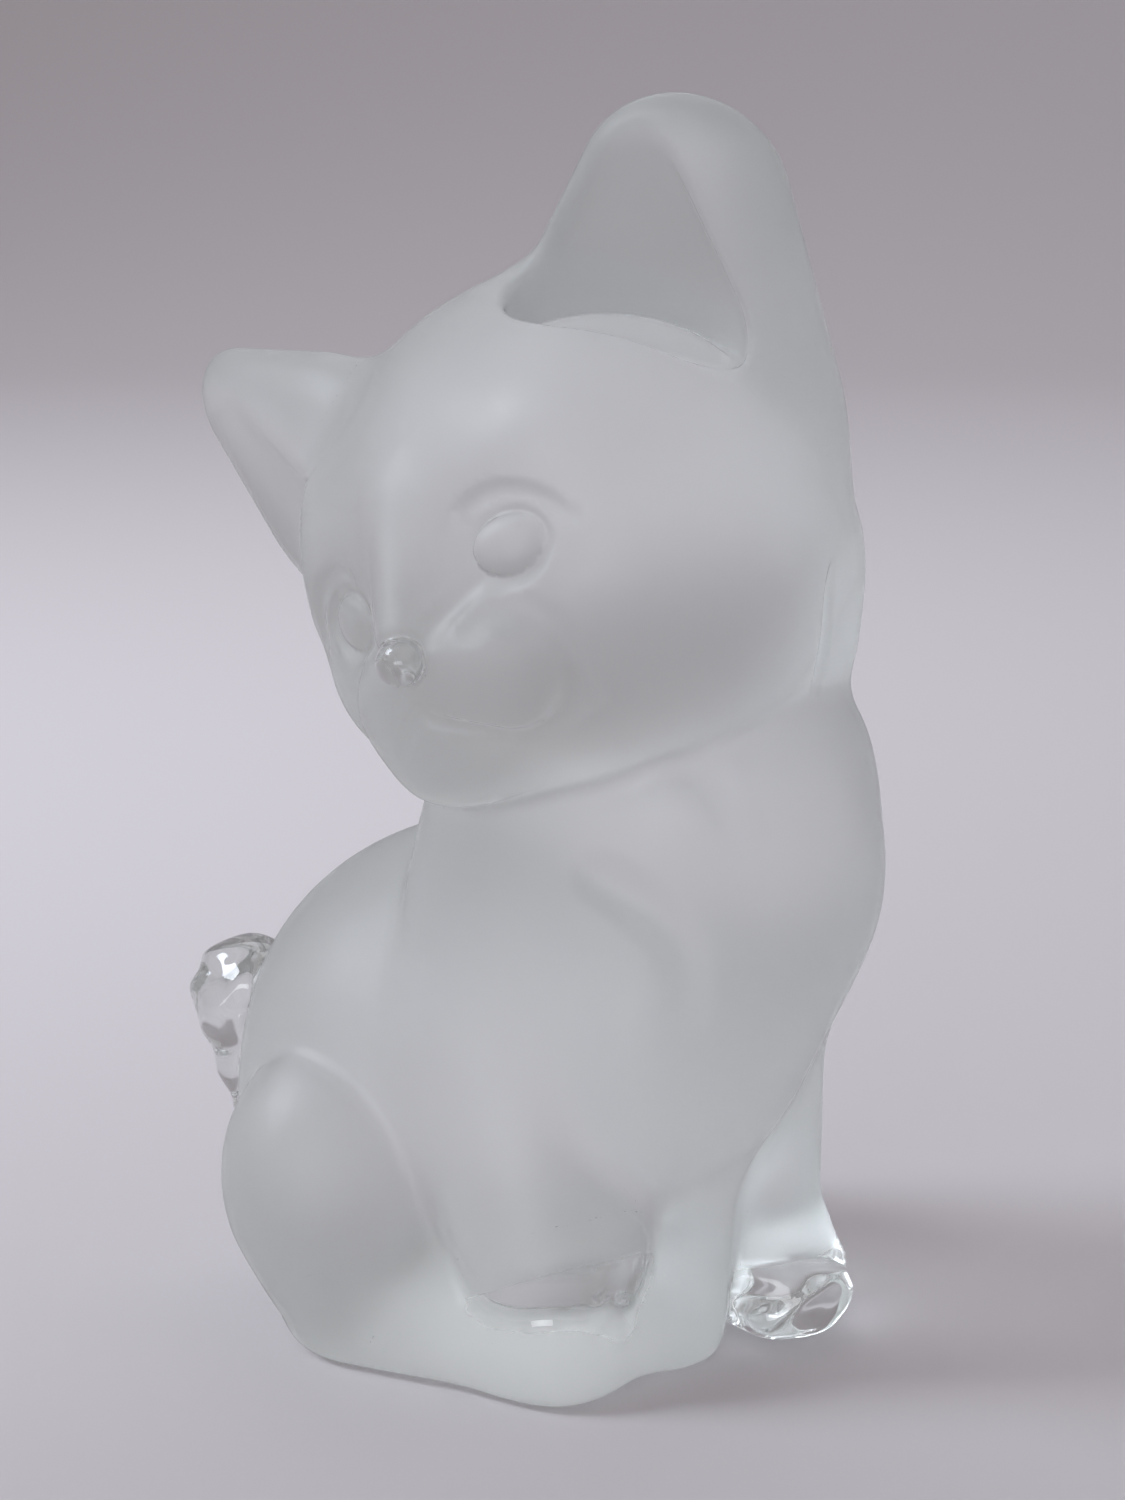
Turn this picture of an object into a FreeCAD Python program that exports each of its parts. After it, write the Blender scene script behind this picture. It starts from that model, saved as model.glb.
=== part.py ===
"""A seated crystal glass kitten that looks back over its right shoulder, with its right forepaw lifted.

Millimetres, +Z up. The ground underside lies on Z = 0 and the origin is on it, under the middle of
the figure. The display side is -Y: the body faces to the right of it, the head to the left of it.

The real thing is one pressed casting of lead crystal, acid-frosted all over but for its nose, tail and
two forepaws, which are polished clear. Here the casting is parted where its forms and its two finishes
meet. Each limb keeps its own whole rounded form, and the form it grows from has a pocket that fits it.
"""
import FreeCAD
import Part
import math
import os

V = FreeCAD.Vector
UPRIGHT = (V(1, 0, 0), V(0, 1, 0), V(0, 0, 1))

# ---- attitude of the head, in degrees ----------------------------------------------------------
HEAD_TURN = 43.0          # to the left of the display side
HEAD_TILT = 27.0          # left ear up
HEAD_NOD = 2.0            # face down

# ---- core masses: half-sizes and places --------------------------------------------------------
BACK_HALF = (22.2, 20.0, 21.0)
BACK_AT = V(-4.7, 4.0, 22.0)
RUMP_HALF = (15.0, 15.0, 14.0)
RUMP_FROM_BACK = V(-7.3, 3.0, -9.0)
SEAT_HALF = (20.0, 15.0, 8.0)             # the low mass that the whole figure sits on
SEAT_FROM_BACK = V(-1.3, -4.0, -18.0)
SHOULDER_HALF = (19.2, 18.0, 19.0)
SHOULDER_FROM_BACK = V(13.0, -4.0, 18.0)
CHEST_HALF = (15.2, 15.0, 22.3)
CHEST_FROM_SHOULDER = V(-0.3, -5.5, -6.5)
CHEST_LEAN = V(0.24, 0.22, 1.0)           # its long axis
WITHERS_HALF = (13.3, 13.0, 11.0)
WITHERS_FROM_SHOULDER = V(4.2, 2.0, 9.0)
THROAT_HALF = (12.5, 13.5, 9.5)
THROAT_FROM_SHOULDER = V(1.7, -5.0, 8.5)
WEB_R = 5.3                               # pillar of glass between the forelegs
WEB_FOOT = V(8.4, -10.4, 3.8)
WEB_RUN = V(1.4, 3.2, 11.2)

# ---- head, in its own left, forward and up -----------------------------------------------------
SKULL_HALF = (22.4, 21.5, 21.5)
SKULL_FROM_SHOULDER = V(-6.5, -2.3, 29.0)
NAPE_HALF = (12.2, 11.5, 11.5)
NAPE_FROM_SKULL = V(10.8, 4.8, -9.8)      # nape and jowl along X, Y, Z
JOWL_HALF = (11.6, 12.0, 9.0)             # under the left ear
JOWL_FROM_SKULL = V(11.4, 3.3, -2.5)
MUZZLE_HALF = (11.5, 11.2, 8.2)
MUZZLE_SINK = 4.7                         # its middle, under the skull's surface
MUZZLE_DROP = 37.3                        # degrees below the face's middle line
CHEEK_HALF = (10.6, 9.0, 9.9)             # across, tall, out of the face: so for brow and eye too
CHEEK_SINK = 8.4
CHEEK_OUT = 63.4                          # degrees out from the nose
CHEEK_DROP = 24.1
BROW_HALF = (9.0, 7.0, 9.0)
BROW_SINK = 7.4
BROW_OUT = 50.4
BROW_RISE = 18.5
EYE_HALF = (3.6, 2.9, 2.5)
EYE_SINK = 0.9
EYE_OUT = 29.0
EYE_DROP = 6.6
NOSE_HALF = (2.1, 1.7, 1.8)
NOSE_SINK = 0.3                           # its middle, under the muzzle's surface
NOSE_RISE = 8.8                           # degrees above the muzzle's middle line

# ---- ears: flat round-ended leaves with a hollow scooped in the front --------------------------
EAR_THICK_SHARE = 0.5                     # thickness over width
LEFT_EAR_ROOT_R = 15.6
LEFT_EAR_TIP_R = 8.8
LEFT_EAR_LENGTH = 18.6                    # between the middles of its two round ends
LEFT_EAR_RISES = V(0.054, -0.350, 0.935)
LEFT_EAR_FACES = V(-0.28, -0.95, -0.12)
LEFT_EAR_SEAT = V(0.525, -0.054, 0.849)      # from the skull's middle towards the ear's root
LEFT_EAR_SINK = 8.7
RIGHT_EAR_ROOT_R = 13.8
RIGHT_EAR_TIP_R = 6.6
RIGHT_EAR_LENGTH = 12.9
RIGHT_EAR_RISES = V(-0.76, 0.53, 0.39)
RIGHT_EAR_FACES = V(-0.68, -0.59, -0.40)
RIGHT_EAR_SEAT = V(-0.878, 0.463, 0.127)
RIGHT_EAR_SINK = 1.5
EAR_ROOT_WALL = 4.6                       # glass left round the hollow
EAR_TIP_WALL = 3.4
HOLLOW_THICK_SHARE = 0.62
HOLLOW_FORWARD = 5.0                      # the hollow's middle, in front of the ear's
HOLLOW_INWARD = 1.6                       # and nearer to the crown

# ---- legs --------------------------------------------------------------------------------------
HAUNCH_HALF = (9.8, 10.0, 12.0)
RIGHT_HAUNCH_FROM_BACK = V(-14.5, -11.0, -7.3)
LEFT_HAUNCH_FROM_BACK = V(4.0, 12.5, -7.3)
HEEL_R = 6.5
TOE_R = 4.8
FOOT_LIFT = 3.8                           # height of the hind foot's middle line
RIGHT_HEEL_FROM_HAUNCH = V(3.2, -2.0, 0)
RIGHT_FOOT_RUN = V(15.3, -9.8, 0)         # heel to toe
LEFT_HEEL_FROM_HAUNCH = V(2.2, -1.5, 0)
LEFT_FOOT_RUN = V(12.0, -10.0, 0)

RIGHT_ELBOW = V(-5.5, -8.0, 28.0)
RIGHT_ELBOW_R = 10.0
UPPER_ARM_RUN = V(3.5, 1.5, 18.0)         # from the elbow up to the shoulder
UPPER_ARM_TOP_R = 9.2
RIGHT_WRIST = V(-0.8, -15.5, 11.6)
RIGHT_WRIST_R = 7.7
RIGHT_PAW_CUFF = 0.5                      # clear glass starts this far above the wrist's middle

LEFT_ELBOW = V(15.5, -1.0, 26.0)
LEFT_ELBOW_R = 7.0
LEFT_WRIST = V(17.3, -3.0, 9.0)
LEFT_WRIST_R = 4.6
LEFT_PAW_R = 5.6
LEFT_PAW_SINK = 0.6                       # ground off its underside
LEFT_PAW_FROM_WRIST = V(2.3, -0.5, 0)
LEFT_PAW_CUFF = 9.4                       # height at which its clear glass starts
LEFT_PAW_CUFF_SLOPE = 0.14

# ---- tail --------------------------------------------------------------------------------------
TAIL_ROOT_R = 5.4
TAIL_TIP_R = 5.2
TAIL_SEAT = V(-0.85, 0.42, -0.33)         # from the middle of the back towards the tail's root
TAIL_OUT = 1.1                            # the root's middle, out of the back's surface
TAIL_RUN = V(-4.2, -0.4, 10.0)            # root to tip

FAR = 400.0                               # larger than the figure, for the blocks that cut it
SEAM_TURN = 37.0                          # where the two halves of a round cone's skin meet


def axes(height, across):
    """Width, depth and height at right angles, with height kept and width as near across as can be."""
    up = V(height).normalize()
    width = (across - up * across.dot(up)).normalize()
    return width, up.cross(width), up


def carried(shape, at, width, depth, height):
    """The shape taken from the world's axes to these, which may be longer or shorter than 1."""
    matrix = FreeCAD.Matrix(width.x, depth.x, height.x, at.x,
                            width.y, depth.y, height.y, at.y,
                            width.z, depth.z, height.z, at.z,
                            0, 0, 0, 1)
    return shape.transformGeometry(matrix)


def ball():
    """A ball of radius 1 in two halves of skin, so that no face closes on itself."""
    halves = []
    for turned in (0, 180):
        half = Part.makeSphere(1.0, V(), V(0, 0, 1), -90, 90, 180)
        half.rotate(V(), V(0, 0, 1), turned)
        halves.append(half)
    return halves[0].fuse(halves[1])


def ellipsoid(at, half, frame=UPRIGHT):
    return carried(ball(), at, *(axis * h for axis, h in zip(frame, half)))


def half_circle_arc(radius, middle, start_angle, end_angle):
    """An arc in the XZ plane about a point on Z; angles are from +X towards +Z."""
    def at(angle):
        return V(radius * math.cos(angle), 0, middle + radius * math.sin(angle))
    return Part.Arc(at(start_angle), at((start_angle + end_angle) / 2), at(end_angle)).toShape()


def round_cone(start, end, start_r, end_r, thick_share=1.0, through=V(0.31, 0.87, 0.17)):
    """Two balls and the cone that touches both, squashed to thick_share of its width along through."""
    length = (end - start).Length
    slope = math.asin((start_r - end_r) / length)
    low = half_circle_arc(start_r, 0, -math.pi / 2, slope)
    high = half_circle_arc(end_r, length, slope, math.pi / 2)
    side = Part.LineSegment(low.Vertexes[-1].Point, high.Vertexes[0].Point).toShape()
    core = Part.LineSegment(high.Vertexes[-1].Point, low.Vertexes[0].Point).toShape()
    profile = Part.Face(Part.Wire([low, side, high, core]))
    profile.rotate(V(), V(0, 0, 1), SEAM_TURN)
    solid = profile.revolve(V(), V(0, 0, 1), 180).fuse(profile.revolve(V(), V(0, 0, 1), -180))
    width, depth, up = axes(end - start, (end - start).cross(through))
    return carried(solid, start, width, depth * thick_share, up)


def half_space(at, normal):
    """A block that fills the side of a plane which its normal points into."""
    block = Part.makeBox(FAR, FAR, FAR, V(-FAR / 2, -FAR / 2, 0))
    block.Placement = FreeCAD.Placement(at, FreeCAD.Rotation(V(0, 0, 1), normal))
    return block


def fused(shapes):
    return shapes[0].fuse(shapes[1:])


def sunk(middle, half, frame, direction, sink):
    """The point that lies this far under an ellipsoid's surface, seen from its middle."""
    local = V(*(direction.dot(axis) for axis in frame)).normalize()
    reach = 1 / math.sqrt(sum((c / h) ** 2 for c, h in zip(local, half))) - sink
    return middle + sum((axis * c * reach for axis, c in zip(frame, local)), V())


def head_frame():
    """The head's left, forward and up."""
    def turned(v):
        v = FreeCAD.Rotation(V(1, 0, 0), -HEAD_NOD).multVec(v)
        v = FreeCAD.Rotation(V(0, 1, 0), -HEAD_TILT).multVec(v)
        return FreeCAD.Rotation(V(0, 0, 1), -HEAD_TURN).multVec(v)
    return turned(V(1, 0, 0)), turned(V(0, -1, 0)), turned(V(0, 0, 1))


SHOULDER_AT = BACK_AT + SHOULDER_FROM_BACK
SKULL_AT = SHOULDER_AT + SKULL_FROM_SHOULDER
LEFT, FORWARD, UP = head_frame()


def face_direction(out, rise):
    """The direction this many degrees to the left of the nose and above the face's middle line."""
    out, rise = math.radians(out), math.radians(rise)
    level = LEFT * math.sin(out) + FORWARD * math.cos(out)
    return level * math.cos(rise) + UP * math.sin(rise)


def on_skull(half, out, rise, sink):
    """A form on the face, with its depth along the direction it stands in."""
    direction = face_direction(out, rise)
    middle = sunk(SKULL_AT, SKULL_HALF, (LEFT, FORWARD, UP), direction, sink)
    return ellipsoid(middle, half, axes(direction, LEFT))


def muzzle_at():
    return sunk(SKULL_AT, SKULL_HALF, (LEFT, FORWARD, UP), face_direction(0, -MUZZLE_DROP), MUZZLE_SINK)


def torso():
    back = ellipsoid(BACK_AT, BACK_HALF)
    rump = ellipsoid(BACK_AT + RUMP_FROM_BACK, RUMP_HALF)
    seat = ellipsoid(BACK_AT + SEAT_FROM_BACK, SEAT_HALF)
    shoulder = ellipsoid(SHOULDER_AT, SHOULDER_HALF)
    chest = ellipsoid(SHOULDER_AT + CHEST_FROM_SHOULDER, CHEST_HALF, axes(CHEST_LEAN, V(1, 0, 0)))
    withers = ellipsoid(SHOULDER_AT + WITHERS_FROM_SHOULDER, WITHERS_HALF)
    throat = ellipsoid(SHOULDER_AT + THROAT_FROM_SHOULDER, THROAT_HALF)
    arm = round_cone(RIGHT_ELBOW, RIGHT_ELBOW + UPPER_ARM_RUN, RIGHT_ELBOW_R, UPPER_ARM_TOP_R)
    web = round_cone(WEB_FOOT, WEB_FOOT + WEB_RUN, WEB_R, WEB_R)
    return fused([back, rump, seat, shoulder, chest, withers, throat, arm, web])


def head():
    frame = (LEFT, FORWARD, UP)
    forms = [ellipsoid(SKULL_AT, SKULL_HALF, frame),
             ellipsoid(muzzle_at(), MUZZLE_HALF, frame),
             ellipsoid(SKULL_AT + NAPE_FROM_SKULL, NAPE_HALF),
             ellipsoid(SKULL_AT + JOWL_FROM_SKULL, JOWL_HALF)]
    for side in (1, -1):
        forms.append(on_skull(CHEEK_HALF, side * CHEEK_OUT, -CHEEK_DROP, CHEEK_SINK))
        forms.append(on_skull(BROW_HALF, side * BROW_OUT, BROW_RISE, BROW_SINK))
    return fused(forms).cut([ear_hollow(*LEFT_EAR), ear_hollow(*RIGHT_EAR)])


def eye(side):
    return on_skull(EYE_HALF, side * EYE_OUT, -EYE_DROP, EYE_SINK)


def nose():
    frame = (LEFT, FORWARD, UP)
    middle = sunk(muzzle_at(), MUZZLE_HALF, frame, face_direction(0, NOSE_RISE), NOSE_SINK)
    return ellipsoid(middle, NOSE_HALF, frame)


LEFT_EAR = (LEFT_EAR_SEAT, LEFT_EAR_SINK, LEFT_EAR_RISES, LEFT_EAR_LENGTH,
            LEFT_EAR_ROOT_R, LEFT_EAR_TIP_R, LEFT_EAR_FACES)
RIGHT_EAR = (RIGHT_EAR_SEAT, RIGHT_EAR_SINK, RIGHT_EAR_RISES, RIGHT_EAR_LENGTH,
             RIGHT_EAR_ROOT_R, RIGHT_EAR_TIP_R, RIGHT_EAR_FACES)


def ear_leaf(seat, sink, rises, length, root_r, tip_r, faces):
    root = sunk(SKULL_AT, SKULL_HALF, (LEFT, FORWARD, UP), seat, sink)
    tip = root + V(rises).normalize() * length
    return round_cone(root, tip, root_r, tip_r, EAR_THICK_SHARE, faces)


def ear_hollow(seat, sink, rises, length, root_r, tip_r, faces):
    forward = V(faces).normalize() * HOLLOW_FORWARD
    inward = faces.cross(rises).normalize() * HOLLOW_INWARD
    root = sunk(SKULL_AT, SKULL_HALF, (LEFT, FORWARD, UP), seat, sink) + forward + inward
    tip = root - inward + V(rises).normalize() * length
    return round_cone(root, tip, root_r - EAR_ROOT_WALL, tip_r - EAR_TIP_WALL, HOLLOW_THICK_SHARE, faces)


def ear(own):
    return ear_leaf(*own).cut(ear_hollow(*own))


def right_forelimb():
    """The lifted foreleg and its clear paw, parted square to the leg."""
    limb = round_cone(RIGHT_ELBOW, RIGHT_WRIST, RIGHT_ELBOW_R, RIGHT_WRIST_R)
    down = (RIGHT_WRIST - RIGHT_ELBOW).normalize()
    paw_side = half_space(RIGHT_WRIST - down * RIGHT_PAW_CUFF, down)
    return limb.cut(paw_side), limb.common(paw_side)


def left_forelimb():
    """The standing foreleg and its clear paw, parted at the cuff."""
    paw_at = V(LEFT_WRIST.x, LEFT_WRIST.y, LEFT_PAW_R - LEFT_PAW_SINK) + LEFT_PAW_FROM_WRIST
    limb = fused([round_cone(LEFT_ELBOW, LEFT_WRIST, LEFT_ELBOW_R, LEFT_WRIST_R),
                  ellipsoid(paw_at, (LEFT_PAW_R,) * 3)])
    cuff = V(LEFT_WRIST.x, LEFT_WRIST.y, LEFT_PAW_CUFF)
    paw_side = half_space(cuff, V(LEFT_PAW_CUFF_SLOPE, 0, -1))
    return limb.cut(paw_side), limb.common(paw_side)


def hind_foot(haunch_at, heel_from_haunch, run):
    heel = V(haunch_at.x, haunch_at.y, FOOT_LIFT) + heel_from_haunch
    return round_cone(heel, heel + run, HEEL_R, TOE_R)


def tail():
    root = sunk(BACK_AT, BACK_HALF, UPRIGHT, TAIL_SEAT, -TAIL_OUT)
    return round_cone(root, root + TAIL_RUN, TAIL_ROOT_R, TAIL_TIP_R)


def whole_forms():
    """Every form by name. Each is whole, and takes its room out of the forms listed after it."""
    foreleg_right, forepaw_right = right_forelimb()
    foreleg_left, forepaw_left = left_forelimb()
    right_haunch_at = BACK_AT + RIGHT_HAUNCH_FROM_BACK
    left_haunch_at = BACK_AT + LEFT_HAUNCH_FROM_BACK
    return {
        "nose": nose(),
        "eye_left": eye(1),
        "eye_right": eye(-1),
        "forepaw_right": forepaw_right,
        "forepaw_left": forepaw_left,
        "tail": tail(),
        "ear_left": ear(LEFT_EAR),
        "ear_right": ear(RIGHT_EAR),
        "foreleg_right": foreleg_right,
        "foreleg_left": foreleg_left,
        "hind_foot_right": hind_foot(right_haunch_at, RIGHT_HEEL_FROM_HAUNCH, RIGHT_FOOT_RUN),
        "hind_foot_left": hind_foot(left_haunch_at, LEFT_HEEL_FROM_HAUNCH, LEFT_FOOT_RUN),
        "haunch_right": ellipsoid(right_haunch_at, HAUNCH_HALF),
        "haunch_left": ellipsoid(left_haunch_at, HAUNCH_HALF),
        "head": head(),
        "torso": torso(),
    }


def main():
    os.makedirs("parts", exist_ok=True)
    above_ground = half_space(V(0, 0, 0), V(0, 0, 1))
    taken = []
    for name, form in whole_forms().items():
        piece = form.common(above_ground)
        if taken:
            piece = piece.cut(taken)
        taken.append(form)
        piece.exportStep(f"parts/{name}.step")
        box = piece.optimalBoundingBox(False)
        print(f"{name:16} solids {len(piece.Solids)}  valid {piece.isValid()}  {piece.Volume / 1000:7.2f} cm3"
              f"  x {box.XMin:6.1f} {box.XMax:6.1f}  y {box.YMin:6.1f} {box.YMax:6.1f}"
              f"  z {box.ZMin:6.1f} {box.ZMax:6.1f}")


main()
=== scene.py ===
"""A seated kitten cast solid in lead crystal: frosted all over, with polished nose, forepaws and tail.

The casting is one smooth skin, melted together from rounded forms, and parted into its named pieces by
the same forms. Lengths in the forms are millimetres; meshes, lights and camera are in metres.
"""

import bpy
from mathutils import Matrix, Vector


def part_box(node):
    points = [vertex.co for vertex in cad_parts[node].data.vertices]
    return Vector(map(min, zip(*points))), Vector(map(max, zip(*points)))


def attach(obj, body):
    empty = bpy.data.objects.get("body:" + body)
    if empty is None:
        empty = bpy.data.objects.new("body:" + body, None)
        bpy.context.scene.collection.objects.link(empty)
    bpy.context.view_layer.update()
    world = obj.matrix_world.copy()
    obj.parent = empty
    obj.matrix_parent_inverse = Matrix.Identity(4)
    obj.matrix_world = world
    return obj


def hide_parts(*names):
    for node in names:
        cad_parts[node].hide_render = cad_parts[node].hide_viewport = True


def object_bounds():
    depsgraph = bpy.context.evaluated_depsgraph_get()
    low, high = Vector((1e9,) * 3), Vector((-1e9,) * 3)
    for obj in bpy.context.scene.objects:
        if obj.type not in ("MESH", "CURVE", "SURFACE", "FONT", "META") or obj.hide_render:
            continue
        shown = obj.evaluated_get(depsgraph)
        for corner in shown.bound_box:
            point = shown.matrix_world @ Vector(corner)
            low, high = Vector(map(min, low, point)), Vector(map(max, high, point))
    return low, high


bl_info = {
    "name": "Crystal Kitten",
    "version": (1, 0, 0),
    "blender": (4, 5, 0),
    "location": "View3D > Sidebar > Kitten",
    "description": "Casts a frosted crystal kitten in separate pieces, with a studio to show it",
    "category": "Add Mesh",
}

import bpy
import numpy as np
import openvdb
from bpy.props import FloatProperty, FloatVectorProperty, PointerProperty
from mathutils import Vector

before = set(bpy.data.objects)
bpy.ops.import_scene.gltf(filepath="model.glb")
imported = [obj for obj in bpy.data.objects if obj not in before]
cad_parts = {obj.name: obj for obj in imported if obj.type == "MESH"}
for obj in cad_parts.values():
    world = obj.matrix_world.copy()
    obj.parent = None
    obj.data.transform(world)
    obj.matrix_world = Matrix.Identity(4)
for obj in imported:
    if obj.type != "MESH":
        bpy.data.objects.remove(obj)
CAD_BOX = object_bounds()

MM = 0.001
CAD_LOW, CAD_HIGH = (np.array(corner) / MM for corner in CAD_BOX)


# ---- small helpers -----------------------------------------------------------------------------
def linear(hex_colour):
    """An sRGB hex colour as linear red, green and blue."""
    channels = [int(hex_colour[i:i + 2], 16) / 255 for i in (1, 3, 5)]
    return tuple(c / 12.92 if c <= 0.04045 else ((c + 0.055) / 1.055) ** 2.4 for c in channels)


def cad_box(node):
    """A CAD node's lowest and highest corners, in millimetres."""
    low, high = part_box(node)
    return np.array(low) / MM, np.array(high) / MM


# ---- sizes, finish and stage -------------------------------------------------------------------
class KittenSizes(bpy.types.PropertyGroup):
    mesh_step: FloatProperty(
        name="Mesh step", description="Side of one face of the skin, in millimetres", default=0.46, min=0.2)
    joint_step: FloatProperty(
        name="Joint step", description="Side of one face of a joint, in millimetres", default=0.65, min=0.2)
    joint_reach: FloatProperty(
        name="Joint reach", description="How far past a form its joint lies, in millimetres", default=0.35)
    eye_width: FloatProperty(
        name="Eye width", description="Width of one eye's oval, in millimetres", default=6.4, min=2)
    eye_height: FloatProperty(
        name="Eye height", description="Height of one eye's oval, in millimetres", default=4.7, min=2)
    nose_width: FloatProperty(
        name="Nose width", description="Width of the nose, in millimetres", default=4.3, min=1)


class KittenFinish(bpy.types.PropertyGroup):
    glass_tint: FloatVectorProperty(
        name="Glass tint", description="Colour that the glass lets through", subtype="COLOR",
        default=linear("#F3F6F4"), min=0, max=1)
    frosted_roughness: FloatProperty(
        name="Frosted roughness", description="Blur of the acid-etched skin", subtype="FACTOR",
        default=0.52, min=0, max=1)
    frosted_clarity: FloatProperty(
        name="Frosted clarity", description="Share of the light that the etched skin lets through",
        default=0.92, min=0, max=1)
    polished_roughness: FloatProperty(
        name="Polished roughness", description="Blur of the fire-polished skin", subtype="FACTOR",
        default=0.02, min=0, max=1)
    etch_grain: FloatProperty(
        name="Etch grain", description="Size of one grain of the etching", subtype="DISTANCE",
        default=0.35 * MM, min=0.05 * MM)


class KittenStage(bpy.types.PropertyGroup):
    paper: FloatVectorProperty(
        name="Paper", description="Colour of the sheet under and behind the figure", subtype="COLOR",
        default=linear("#DAD5D8"), min=0, max=1)
    window_power: FloatProperty(
        name="Window power", description="Strength of the soft light from the left", subtype="POWER",
        default=0.7, min=0)
    skylight_power: FloatProperty(
        name="Skylight power", description="Strength of the soft light from above and behind",
        subtype="POWER", default=0.5, min=0)
    fill_power: FloatProperty(
        name="Fill power", description="Strength of the low soft light from the front", subtype="POWER",
        default=0.38, min=0)
    window_colour: FloatVectorProperty(
        name="Window colour", description="Colour of the soft light from the left", subtype="COLOR",
        default=linear("#EDF5FF"), min=0, max=1)
    bounced_colour: FloatVectorProperty(
        name="Bounced colour", description="Colour of the soft lights from behind and in front",
        subtype="COLOR", default=linear("#F7FAFF"), min=0, max=1)
    sky: FloatProperty(
        name="Sky", description="Strength of the even light from all round", default=0.44, min=0)
    sky_colour: FloatVectorProperty(
        name="Sky colour", description="Colour of the even light from all round", subtype="COLOR",
        default=linear("#E6E1E4"), min=0, max=1)


# ---- forms: each returns a function from points to their distance outside it -------------------
TINY = 1e-6
ANY_WIDTH = 0.31, 0.87, 0.17      # the width of a form that is as deep as it is wide: any way will do
# Three ways that waves run, none square to another, so that the waves never line up; and how they bend.
WAVE_WAYS = np.array([[0.9, -0.4, 0.2], [0.3, 0.8, -0.7], [0.5, 0.6, 0.9]])
WAVE_BEND = np.float32(1.3)
FLATTEST = 0.04                   # the least square of a slope that is stepped along
LINE_ROOM = 3.0                   # how far round a pressed line its distance is measured


def square_axes(height, across):
    """Width, depth and height as columns, with height kept and width as near across as can be."""
    up = np.array(height, float) / np.linalg.norm(height)
    width = np.array(across, float) - up * (up @ across)
    width /= np.linalg.norm(width)
    return np.stack([width, np.cross(up, width), up], 1)


def turn(axis, degrees):
    """A turn about the X, Y or Z axis."""
    c, s = np.cos(np.radians(degrees)), np.sin(np.radians(degrees))
    j, k = [(1, 2), (2, 0), (0, 1)][axis]
    matrix = np.eye(3)
    matrix[[j, j, k, k], [j, k, j, k]] = c, -s, s, c
    return matrix


def ellipsoid(middle, half, columns=np.eye(3)):
    middle, half, columns = (np.asarray(a, np.float32) for a in (middle, half, columns))

    def field(p):
        q = (p - middle) @ columns / half
        reach = np.linalg.norm(q, axis=-1)
        slope = np.linalg.norm(q / half, axis=-1)
        return reach * (reach - 1) / np.maximum(slope, TINY)
    return field


def round_cone(start, end, start_r, end_r, thick_share=1.0, columns=None):
    """Two balls and the cone that touches both, squashed to thick_share along its second axis."""
    start, end = np.array(start, float), np.array(end, float)
    length = np.linalg.norm(end - start)
    if columns is None:
        columns = square_axes(end - start, ANY_WIDTH)
    columns = columns.astype(np.float32)
    slope = (start_r - end_r) / length
    fall = np.sqrt(1 - slope * slope)

    def field(p):
        q = (p - start.astype(np.float32)) @ columns
        out = np.hypot(q[..., 0], q[..., 1] / thick_share)
        along = q[..., 2] * fall - out * slope
        side = out * fall + q[..., 2] * slope - start_r
        low = np.hypot(out, q[..., 2]) - start_r
        high = np.hypot(out, q[..., 2] - length) - end_r
        found = np.where(along < 0, low, np.where(along > length * fall, high, side))
        return found * thick_share ** 0.5
    return field


def melt(a, b, soft):
    """The union of two distances, with a fillet about soft wide in the crease."""
    h = np.maximum(soft - np.abs(a - b), 0) / soft
    return np.minimum(a, b) - h * h * soft / 4


def carve(a, b, soft):
    """What is left of a when b is taken out, with a softened edge."""
    return -melt(-a, b, soft)


def rippled(form, length, height):
    """A form whose skin the mould has left in slow waves, about this long and high."""
    runs = (2 * np.pi / length * WAVE_WAYS).astype(np.float32)

    def field(p):
        a, b, c = np.moveaxis(p @ runs, -1, 0)
        return form(p) + np.float32(height) * np.sin(a + WAVE_BEND * np.sin(b)) * np.sin(b + c)
    return field


def uphill(field, p, reach=0.04):
    """The way in which a field grows, at every point."""
    moves = np.eye(3, dtype=np.float32) * np.float32(reach)
    return np.stack([field(p + m) - field(p - m) for m in moves], -1) / np.float32(2 * reach)


def settle(field, p, rounds=3):
    """Moves points that are near the surface onto it."""
    for _ in range(rounds):
        away = uphill(field, p)
        p = p - away * (field(p) / np.maximum((away * away).sum(-1), FLATTEST))[:, None]
    return p


def furrow(ground, path, radius, depth):
    """A rounded line pressed depth deep into the ground's surface, along one smooth curve through a path.

    It fades out towards its two ends. Only the points near it are measured: the rest are just far from it.
    """
    along = np.linspace(0, len(path) - 1, 4 * (len(path) - 1) + 1)
    curve = [np.polyfit(range(len(path)), column, len(path) - 1) for column in zip(*path)]
    knots = np.stack([np.polyval(column, along) for column in curve], 1).astype(np.float32)
    fade = np.sin(np.pi * np.linspace(0.06, 0.94, len(along))) ** 0.5
    standoff = (radius - depth * fade).astype(np.float32)
    knots = settle(lambda p: ground(p) - standoff, knots, 8)
    middle = knots.mean(0)
    far = np.float32(np.linalg.norm(knots - middle, axis=1).max() + radius + LINE_ROOM)

    def field(p):
        found = np.full(p.shape[:-1], LINE_ROOM, np.float32)
        close = np.linalg.norm(p - middle, axis=-1) < far
        q = p[close]
        if len(q):
            reach = np.full(len(q), far, np.float32)
            for a, b in zip(knots[:-1], knots[1:]):
                share = np.clip((q - a) @ (b - a) / ((b - a) @ (b - a)), 0, 1)[:, None]
                reach = np.minimum(reach, np.linalg.norm(q - a - share * (b - a), axis=-1))
            found[close] = np.minimum(reach - radius, LINE_ROOM)
        return found
    return field


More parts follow.
